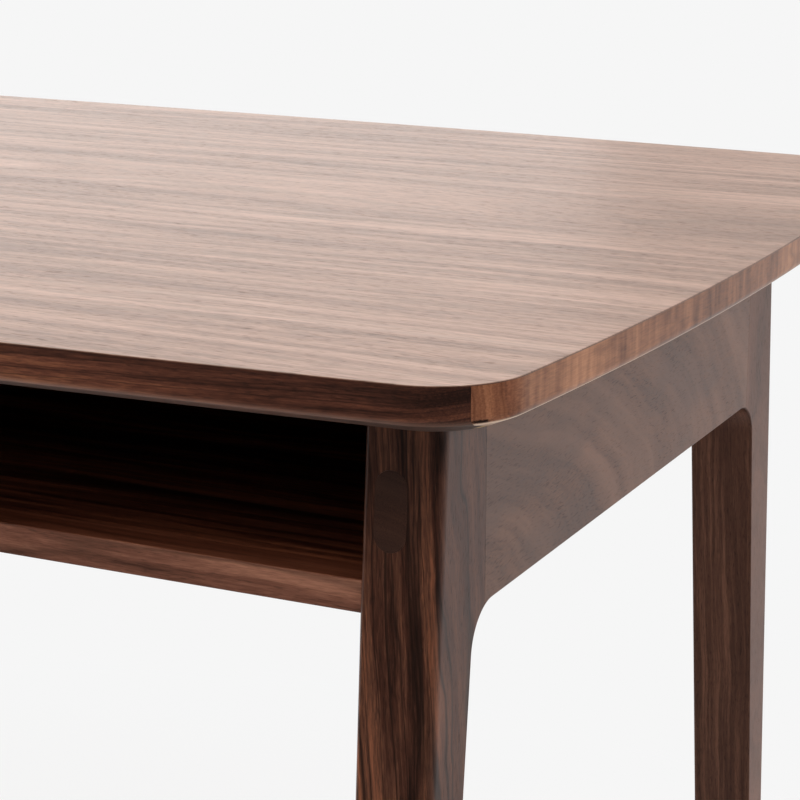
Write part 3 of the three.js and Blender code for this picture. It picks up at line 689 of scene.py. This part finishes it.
def mirrored_piece(piece, name, sign_x, sign_y, material):
    """The same shape on another side, with its faces still pointing out."""
    mesh = bmesh.new()
    mesh.from_mesh(piece.data)
    bmesh.ops.transform(mesh, matrix=Matrix.Diagonal((sign_x, sign_y, 1, 1)), verts=mesh.verts)
    if sign_x * sign_y < 0:
        bmesh.ops.reverse_faces(mesh, faces=mesh.faces)
    return piece_from(name, mesh, [material])


# the legs are dark, with close rings drawn as fine lines down their front and none on the flat sawn
# side; the lacquer has a low sheen. The rear pair stands in shade and is given calmer tones, a
# painted look of that shade.
LEG_TONES = ((0.34, "#28150D"), (0.46, "#47281C"), (0.55, "#5D3A2A"), (0.70, "#90583D"))
REAR_LEG_TONES = ((0.33, "#4A2F24"), (0.46, "#56372A"), (0.55, "#634132"), (0.70, "#7C5542"))
leg_looks = dict(waver=2.4, waver_long=105, waver_across=50, line=0.85, line_gap=4.5, calm=0.35,
                 line_colour="#1C0F0A", pores=0.55, specular=0.35, fibre=0.35, busy=0.68)
rear_leg_looks = dict(leg_looks, line=0.35, line_colour="#2E1B13", calm=0.3, specular=0.28)
LEGS = (
    # end, side, tones, looks, tilt, heart, ring, streak, seed
    ("front", "right", LEG_TONES, leg_looks, (4, 3.7, 0), (-300, -520), 5.5, 200, 17.7),
    ("front", "left", LEG_TONES, leg_looks, (4, -2, 0), (-256, 500), 5, 180, 3.9),
    ("rear", "right", REAR_LEG_TONES, rear_leg_looks, (-4, 1, 0), (256, -490), 6, 260, 6.1),
    ("rear", "left", REAR_LEG_TONES, rear_leg_looks, (-4, 2, 0), (256, 460), 6, 240, 9.4),
)
leg_walnut = {
    (end, side): walnut(f"{end}_{side}_leg_walnut", tones, GRAIN_ALONG_Z, tilt=tilt, heart=heart,
                        ring=ring, streak=streak, seed=seed, **looks)
    for end, side, tones, looks, tilt, heart, ring, streak, seed in LEGS
}
# the side rails are greyer, with a broad soft figure under a silky lacquer
RAIL_TONES = ((0.34, "#52392F"), (0.46, "#624538"), (0.58, "#6C4E40"), (0.72, "#745344"))
rail_looks = dict(ring=13, busy=0.68, cast=("#4A3A36", 0.45), streak=260, waver=4, waver_long=110,
                  waver_across=60, line=0.2, line_gap=14, line_colour="#45332B", pores=0.4,
                  fibre=0.5, specular=0.26, figure=(0.10, 22, 60, 60),
                  end=("MULTIPLY", 0.65, *END_GRAIN[2:]))
rail_walnut = {
    side: walnut(f"{side}_rail_walnut", RAIL_TONES, GRAIN_ALONG_Y, heart=heart, lean=lean,
                 seed=seed, **rail_looks)
    for side, heart, lean, seed in (("right", (-493, 600), (0.36, -0.04), 4.4),
                                    ("left", (500, 610), (0.3, -0.03), 5.7))
}

whole_frame = side_frame("whole_frame")
behind_joint = block("behind_joint", (CUT_INSIDE, JOINT_Y + GLUE_LINE, CUT_BELOW),
                     (CUT_OUTSIDE, CUT_BACK, CUT_ABOVE))
between_joints = block("between_joints", (CUT_INSIDE, GLUE_LINE - JOINT_Y, CUT_BELOW),
                       (CUT_OUTSIDE, JOINT_Y - GLUE_LINE, CUT_ABOVE))
mortise = tenon_bar("mortise", GLUE_LINE)
tenon = tenon_bar("tenon", 0)

rail_look = rail_walnut["right"]
rail_body = shaped("rail_body", whole_frame, [("INTERSECT", between_joints)], rail_look)
tenon_body = shaped("tenon_body", whole_frame, [("INTERSECT", tenon)], rail_look)
right_rail = shaped("right_rail", rail_body, [("UNION", tenon_body)], rail_look)
right_leg = shaped("right_leg", whole_frame,
                   [("INTERSECT", behind_joint), ("DIFFERENCE", mortise)],
                   leg_walnut["rear", "right"])
for side, sign in SIDES:
    rail = mirrored_piece(right_rail, f"{side}_frame_rail", sign, 1, rail_walnut[side])
    finished(smooth(rail), "side_rail_walnut", f"{side}_side_rail")
    for end, end_sign in ENDS:
        leg = mirrored_piece(right_leg, f"{end}_{side}_splayed_leg", sign, end_sign,
                             leg_walnut[end, side])
        finished(smooth(leg), "leg_walnut", f"{end}_{side}_leg")
for tool in (whole_frame, behind_joint, between_joints, mortise, tenon, rail_body, tenon_body,
             right_rail, right_leg):
    bpy.data.objects.remove(tool)


# The rear rail and the shelf: a solid walnut rail closes the back, and a veneered shelf board with
# a solid front lipping is dowelled between the side frames. A divider holds it up in the middle.
# All their arrises are just eased with sandpaper.
REAR_RAIL_FRONT, REAR_RAIL_BACK = 204, 224
SHELF_LOW, SHELF_HIGH = 626.6, 641.6
SHELF_FRONT, SHELF_BOARD_FRONT = -230.1, -212.1
DIVIDER_FRONT, DIVIDER_HALF = -198.1, 9
BOARD_END = FRAME_IN - GLUE_LINE
SOLID_EASE, VENEER_EASE, EASE_SEGMENTS, FRONT_WITHIN = 1.0, 0.8, 3, 0.1


def eased_board(name, low, high, ease, material, front_only=False):
    """A board whose arrises are rounded, either all of them or those of its front face."""
    made = block(name, low, high)
    made.data.materials.append(material)
    weights = made.data.attributes.new("bevel_weight_edge", "FLOAT", "EDGE").data
    for edge, weight in zip(made.data.edges, weights):
        at_front = all(made.data.vertices[v].co.y < (low[1] + FRONT_WITHIN) * MM
                       for v in edge.vertices)
        weight.value = 1.0 if at_front or not front_only else 0.0
    eased = made.modifiers.new("eased", "BEVEL")
    eased.limit_method, eased.width, eased.segments = "WEIGHT", ease * MM, EASE_SEGMENTS
    return smooth(settle(made))


# the rail is plain, and its tones are dark, a painted shade of the shelf space
rear_walnut = walnut(
    "rear_rail_walnut",
    ((0.32, "#2E1B13"), (0.46, "#40271C"), (0.56, "#4F3226"), (0.70, "#664536")),
    GRAIN_ALONG_X, heart=(150, 700), ring=9, streak=330, waver=8, line=0.4,
    line_colour="#38261C", pores=0.35, specular=0.35, seed=7.2)
finished(eased_board("rear_frame_rail", (-BOARD_END, REAR_RAIL_FRONT, RAIL_Z),
                     (BOARD_END, REAR_RAIL_BACK, UNDERSIDE_Z), SOLID_EASE, rear_walnut),
         "rear_rail_walnut", "rear_rail")

# the shelf's lipping is a warm reddish brown; its upper face, under the top, is darkened with
# painted shade
shelf_edge_walnut = walnut(
    "shelf_lipping_walnut",
    ((0.34, "#472A1E"), (0.46, "#704636"), (0.56, "#875946"), (0.68, "#A8755E")),
    GRAIN_ALONG_X, heart=(-270, 610), ring=6, streak=240, waver=2, line=0.5,
    line_colour="#3C251A", pores=0.4, specular=0.4,
    edge=("MULTIPLY", 0.95, "#CBB2A4", 0.5, 0.95), seed=3.3)
finished(eased_board("shelf_edge_lipping", (-BOARD_END, SHELF_FRONT, SHELF_LOW),
                     (BOARD_END, SHELF_BOARD_FRONT - LIPPING_GAP, SHELF_HIGH), SOLID_EASE,
                     shelf_edge_walnut, front_only=True),
         "shelf_lipping", "shelf_front_lipping")

# the divider's veneer has a quiet grain and the same satin lacquer
divider_walnut = walnut(
    "divider_veneer_walnut",
    ((0.32, "#352017"), (0.46, "#4C2E22"), (0.56, "#5F3C2D"), (0.70, "#7A5240")),
    GRAIN_ALONG_Y, heart=(20, 610), ring=8, streak=300, waver=4, line=0.4,
    line_colour="#26160F", pores=0.5, seed=1.3)
finished(eased_board("shelf_middle_divider", (-DIVIDER_HALF, DIVIDER_FRONT, SHELF_HIGH),
                     (DIVIDER_HALF, REAR_RAIL_FRONT, UNDERSIDE_Z), VENEER_EASE, divider_walnut),
         "divider_veneer", "shelf_divider")

# the shelf's veneer shows strong dark and copper bands; its darkest tones are partly painted shade
# of the shelf space under the top
dress("shelf_board", walnut(
    "shelf_veneer_walnut",
    ((0.40, "#24110C"), (0.48, "#4A261A"), (0.56, "#70402D"), (0.66, "#9C5F42")),
    GRAIN_ALONG_X, heart=(30, 560), ring=8, streak=320, waver=6, line=0.4,
    line_colour="#26140D", pores=0.5, seed=6.6, leaf=170))


# Raw wood inside the desk, which no lacquer reaches, so it is matt: the top's plywood core shows
# its plies as bands of pale and darker wood, and the beech dowels have fine flecks and straight
# flutes that are pressed in for the glue.
CORE_TONES = ((0.35, "#A5804F"), (0.65, "#C9A878"))
BEECH_TONES = ((0.35, "#BF9468"), (0.65, "#D8B48A"))
PLY, PLY_BANDS = 1.5, (0.4, 0.6, -0.12, 0.12)
RAW_FIBRE, FLECK_SIZE, FLUTE_SIZE = (14, 0.9, 0.9), (2.4, 0.7, 0.7), (200, 1.3, 1.3)
FLECK_COLOUR, FLECK_SHOWN = "#8A5E38", (0.10, 0.30, 0.5, 0.0)
RAW_ROUGH, RAW_HIGH, RAW_RELIEF, RAW_RELIEF_DEEP = 0.75, 0.3, 0.5, 0.3
RAW_LOOKS = {"IOR": 1.5, "Specular IOR Level": 0.3}
DOWELS = (
    # look, the nodes that have it, grain, how many, seed
    ("side", ("right_shelf_dowel", "left_shelf_dowel"), GRAIN_ALONG_X, 4, 2.0),
    ("rear", ("rear_shelf_dowel",), GRAIN_ALONG_Y, 4, 7.0),
    ("upright", ("divider_dowel",), GRAIN_ALONG_Z, 3, 12.0),
)
CELLS = "ShaderNodeTexVoronoi"


def raw_wood(name, tones, turn, seed, ply=0.0, flutes=False):
    made, tree = empty_material(name)
    place = add(tree, COORDINATES, out="Object")
    grain = add(tree, MAPPING,
                {"Vector": place, "Rotation": tuple(math.radians(a) for a in turn)})
    tone = patches(tree, grain, RAW_FIBRE, (seed, 0, 0), Detail=3.0)
    flecks = patches(tree, grain, FLECK_SIZE, (0, seed, 0), CELLS, "Distance")
    height = add(tree, MATH, (tone, RAW_HIGH), operation="MULTIPLY")
    if ply:
        level = add(tree, SEPARATE, (place,), "Z")
        level = add(tree, MATH, (level, 1 / (ply * MM)), operation="MULTIPLY")
        plies = add(tree, MATH, (level, 1.0), operation="PINGPONG")
        tone = add(tree, MATH, (tone, add(tree, MAP_RANGE, (plies, *PLY_BANDS))), operation="ADD")
    if flutes:
        ripple = patches(tree, grain, FLUTE_SIZE, (0, 0, seed), CELLS, "Distance")
        height = add(tree, MATH, (height, ripple), operation="ADD")
    shade = add(tree, MIX, {0: add(tree, MAP_RANGE, (flecks, *FLECK_SHOWN)),
                            6: add(tree, RAMP, (tone,), stops=tones),
                            7: colour(FLECK_COLOUR)}, 2, data_type="RGBA")
    coated(tree, shade, RAW_ROUGH, height, RAW_RELIEF, RAW_RELIEF_DEEP, RAW_LOOKS)
    return made


dress("top_core", raw_wood("birch_plywood_sawn", CORE_TONES, GRAIN_ALONG_X, 1.0, ply=PLY))
for look, nodes, turn, count, seed in DOWELS:
    for number in range(1, count + 1):
        beech = raw_wood(f"beech_dowel_{look}_{number}", BEECH_TONES, turn, seed + number,
                         flutes=True)
        for name in nodes:
            dress(f"{name}_{number}", beech)


# The fixings: figure-eight plates of stamped zinc-plated steel are let into the rails. They hold
# the top down and let it move, with a countersunk screw through each lobe. A moulded nylon glide is
# nailed under each foot. Each kind is built once by nodes and set on its points.
PLATE = {"Thickness": 2.5, "Lobe diameter": 19, "Lobe spacing": 14, "Hole diameter": 4.4,
         "Head diameter": 8, "Head height": 2.2}
RAIL_SCREW = {"Length": 25, "Shank diameter": 4, "Head diameter": 7.6, "Head height": 2,
              "Point length": 4, "Thread pitch": 1.6, "Thread depth": 0.5, "Recess length": 4.2,
              "Recess width": 0.9, "Recess depth": 1.5}
TOP_SCREW = dict(RAIL_SCREW, Length=14)
GLIDE = {"Diameter": 15, "Thickness": FOOT_Z, "Edge": 0.8, "Dish": 0.4, "Pin diameter": 2.4,
         "Pin length": 14}
HEAD_SINK = 0.2
PLATE_ON_RAIL_Y, PLATE_ON_REAR_X = 111.3, 286
LOBE_STEPS, HOLE_STEPS, SCREW_STEPS, GLIDE_STEPS, DISH_STEPS = 48, 32, 24, 40, 24
THREAD_STEPS, FLANKS = 12, 3
RECESS_SEED = 5
FIXING_SHARP_FROM = 40
MOTTLE_DEEP = 0.1
BOOLEAN, TRANSFORM = "GeometryNodeMeshBoolean", "GeometryNodeTransform"
FUSED = {"operation": "UNION", "solver": "EXACT"}
CARVED = {"operation": "DIFFERENCE", "solver": "EXACT"}


def fixing_tree(name, sizes):
    """A tree whose named inputs are its points, its sizes in metres and its material."""
    tree = bpy.data.node_groups.new(name, "GeometryNodeTree")
    for label, way, kind in (("Points", "INPUT", "Geometry"),
                             *((size, "INPUT", "Float") for size in sizes),
                             ("Material", "INPUT", "Material"), ("Fixings", "OUTPUT", "Geometry")):
        tree.interface.new_socket(label, in_out=way, socket_type="NodeSocket" + kind)
    return tree, add(tree, "NodeGroupInput", out=None)


def drum(tree, low_radius, high_radius, height, x=0.0, z=0.0, steps=HOLE_STEPS):
    """A cylinder or a cone that stands on a height."""
    cone = add(tree, "GeometryNodeMeshCone",
               {"Vertices": steps, "Radius Bottom": low_radius, "Radius Top": high_radius,
                "Depth": height}, "Mesh")
    spot = add(tree, COMBINE, {0: x, 2: z})
    return add(tree, TRANSFORM, {"Geometry": cone, "Translation": spot})


def set_on_points(tree, given, shape, axis, spin=0.0):
    """Sets the shape on each point, turned about an axis by the point's own angle."""
    turn = add(tree, "GeometryNodeInputNamedAttribute", {"Name": "turn"}, data_type="FLOAT")
    placed = add(tree, "GeometryNodeInstanceOnPoints",
                 {"Points": given["Points"], "Instance": shape,
                  "Rotation": add(tree, COMBINE, {2: spin, axis: turn})})
    real = add(tree, "GeometryNodeRealizeInstances", (placed,))
    dressed = add(tree, "GeometryNodeSetMaterial",
                  {"Geometry": real, "Material": given["Material"]})
    add(tree, "NodeGroupOutput", (dressed,), None)


def built_on(name, tree, points, turns, sizes, material):
    """A piece that a tree builds on points in millimetres, each with its turn in degrees."""
    data = bpy.data.meshes.new(name)
    data.from_pydata([tuple(c * MM for c in point) for point in points], [], [])
    turn = data.attributes.new("turn", "FLOAT", "POINT")
    turn.data.foreach_set("value", [math.radians(t) for t in turns])
    made = bpy.data.objects.new(name, data)
    scene.collection.objects.link(made)
    step = made.modifiers.new(tree.name, "NODES")
    step.node_group = tree
    for item in tree.interface.items_tree:
        if item.in_out == "INPUT" and item.name in sizes:
            step[item.identifier] = sizes[item.name] * MM
        elif item.in_out == "INPUT" and item.name == "Material":
            step[item.identifier] = material
    return smooth(settle(made), FIXING_SHARP_FROM)


def mottled(name, patch, detail, seed, tones, rough, relief, **looks):
    """A fitting's surface: its tone, sheen and height change a little from patch to patch."""
    made, tree = empty_material(name)
    place = add(tree, COORDINATES, out="Object")
    cloud = patches(tree, place, (patch, patch, patch), (seed, 0, 0), Detail=detail)
    coated(tree, add(tree, RAMP, (cloud,), stops=tones),
           add(tree, MAP_RANGE, (cloud, NOISE_LOW, NOISE_HIGH, *rough)), cloud, relief,
           MOTTLE_DEEP, looks)
    return made


# a plate is two lobes with a hole through each, countersunk above in one and below in the other;
# the drums that cut the holes reach past both faces
tree, given = fixing_tree("figure_eight_plate", PLATE)
lobe, reach, hole, sink = (
    add(tree, MATH, (given[label], 0.5), operation="MULTIPLY")
    for label in ("Lobe diameter", "Lobe spacing", "Hole diameter", "Head diameter"))
thick, head = given["Thickness"], given["Head height"]
under, left, head_under, cut_under, through = (
    add(tree, MATH, (size, times), operation="MULTIPLY")
    for size, times in ((thick, -1.0), (reach, -1.0), (head, -1.0), (thick, -2.0), (thick, 3.0)))
lobes = [drum(tree, lobe, lobe, thick, x, under, LOBE_STEPS) for x in (left, reach)]
eight = add(tree, BOOLEAN, {"Mesh 2": lobes}, **FUSED)
cuts = [drum(tree, hole, hole, through, x, cut_under) for x in (left, reach)]
cuts += [drum(tree, hole, sink, head, left, head_under), drum(tree, sink, hole, head, reach, under)]
plate = add(tree, BOOLEAN, {"Mesh 1": eight, "Mesh 2": cuts}, **CARVED)
set_on_points(tree, given, plate, 2)
plate_tree = tree

# a screw's face is at its point on the desk and it runs down; half of each bar that cuts the cross
# recess stands above the face
tree, given = fixing_tree("countersunk_screw", RAIL_SCREW)
deep, head, point = given["Thread depth"], given["Head height"], given["Point length"]
rim, shank, under, low_end, bar = (
    add(tree, MATH, (given[label], times), operation="MULTIPLY")
    for label, times in (("Head diameter", 0.5), ("Shank diameter", 0.5), ("Head height", -1.0),
                         ("Length", -1.0), ("Recess depth", 2.0)))
core, foot = (add(tree, MATH, pair, operation="SUBTRACT")
              for pair in ((shank, deep), (point, given["Length"])))
straight = add(tree, MATH, (under, foot), operation="SUBTRACT")
turned_parts = [drum(tree, core, rim, head, 0.0, under, SCREW_STEPS),
                drum(tree, core, core, straight, 0.0, foot, SCREW_STEPS),
                drum(tree, 0.0, core, point, 0.0, low_end, SCREW_STEPS)]
body = add(tree, BOOLEAN, {"Mesh 2": turned_parts}, **FUSED)
slots = []
for sides in (("Recess length", "Recess width"), ("Recess width", "Recess length")):
    size = add(tree, COMBINE, (given[sides[0]], given[sides[1]], bar))
    slots.append(add(tree, "GeometryNodeMeshCube", {"Size": size}))
headed = add(tree, BOOLEAN, {"Mesh 1": body, "Mesh 2": slots}, **CARVED)
coil = add(tree, "GeometryNodeCurveSpiral",
           {"Resolution": THREAD_STEPS, "Start Radius": core, "End Radius": core,
            "Height": straight, "Rotations": add(tree, MATH, (straight, given["Thread pitch"]),
                                                 operation="DIVIDE")})
flank = add(tree, "GeometryNodeCurvePrimitiveCircle", {"Resolution": FLANKS, "Radius": deep},
            mode="RADIUS")
thread = add(tree, "GeometryNodeCurveToMesh",
             {"Curve": coil, "Profile Curve": flank, "Fill Caps": True})
wound = add(tree, TRANSFORM, {"Geometry": thread, "Translation": add(tree, COMBINE, {2: foot})})
screw = add(tree, "GeometryNodeJoinGeometry", ([headed, wound],))
chance = add(tree, "FunctionNodeRandomValue", {2: 0.0, 3: math.pi / 2, "Seed": RECESS_SEED}, 1,
             data_type="FLOAT")
set_on_points(tree, given, screw, 0, chance)
screw_tree = tree

# a glide is a disc with a chamfered rim and a shallow dish under it, and a pointed pin on top
tree, given = fixing_tree("nailed_glide", GLIDE)
edge, pin_wide, pin_long = given["Edge"], given["Pin diameter"], given["Pin length"]
disc, pin = (add(tree, MATH, (given[label], 0.5), operation="MULTIPLY")
             for label in ("Diameter", "Pin diameter"))
face, upper = (add(tree, MATH, (size, edge), operation="SUBTRACT")
               for size in (disc, given["Thickness"]))
tip = add(tree, MATH, (upper, pin_long), operation="ADD")
stacked = [drum(tree, face, disc, edge, 0.0, 0.0, GLIDE_STEPS),
           drum(tree, disc, disc, upper, 0.0, edge, GLIDE_STEPS),
           drum(tree, pin, pin, pin_long, 0.0, upper, GLIDE_STEPS),
           drum(tree, pin, 0.0, pin_wide, 0.0, tip, GLIDE_STEPS)]
puck = add(tree, BOOLEAN, {"Mesh 2": stacked}, **FUSED)
dish = drum(tree, pin_wide, pin, given["Dish"], 0.0, 0.0, DISH_STEPS)
dished = add(tree, BOOLEAN, {"Mesh 1": puck, "Mesh 2": dish}, **CARVED)
set_on_points(tree, given, dished, 2)
glide_tree = tree

# zinc plate is a pale, faintly blue bright metal; moulded nylon is black with a soft, grainy sheen
zinc_steel = mottled("zinc_plated_steel_bright", 2.5, 3.0, 3.0,
                     ((0.3, "#B2B4B4"), (0.7, "#CFCFCB")), (0.24, 0.36), 0.15, Metallic=1.0)
nylon = mottled("moulded_black_nylon", 0.5, 2.0, 0.0, ((0.35, "#171616"), (0.65, "#211F1E")),
                (0.48, 0.6), 0.2, IOR=1.53)

plate_spots = [(side * FRAME_IN, y * PLATE_ON_RAIL_Y, UNDERSIDE_Z) for side in (-1, 1)
               for y in (-1, 1)]
plate_spots += [(side * PLATE_ON_REAR_X, REAR_RAIL_FRONT, UNDERSIDE_Z) for side in (-1, 1)]
plate_turns = [0, 0, 180, 180, -90, -90]
numbers = range(1, len(plate_spots) + 1)
plates = built_on("figure_eight_plates", plate_tree, plate_spots, plate_turns, PLATE, zinc_steel)
finished(plates, "zinc_plated_steel", *(f"figure_eight_plate_{n}" for n in numbers))


def screws(name, way, height, sizes, turn_over):
    """One screw for each plate, in the lobe over the rail or in the one under the top."""
    reach = way * PLATE["Lobe spacing"] / 2
    spots = [(x + reach * math.cos(math.radians(turn)), y + reach * math.sin(math.radians(turn)),
              height) for (x, y, z), turn in zip(plate_spots, plate_turns)]
    made = built_on(name, screw_tree, spots, [turn_over] * len(spots), sizes, zinc_steel)
    finished(made, "zinc_plated_steel", *(f"{name[:-1]}_{n}" for n in numbers))


screws("rail_screws", -1, UNDERSIDE_Z - HEAD_SINK, RAIL_SCREW, 0)
screws("top_screws", 1, UNDERSIDE_Z - PLATE["Thickness"] + HEAD_SINK, TOP_SCREW, 180)

foot_middle = outer_y(FOOT_Z) - FOOT_WIDE / 2
foot_spots = [(x * (FRAME_OUT - FOOT_THICK / 2), y * foot_middle, 0) for y in (-1, 1)
              for x in (-1, 1)]
glides = built_on("foot_glides", glide_tree, foot_spots, [0] * len(foot_spots), GLIDE, nylon)
finished(glides, "nylon",
         *(f"{end}_{side}_glide" for end in ("front", "rear") for side in ("left", "right")))
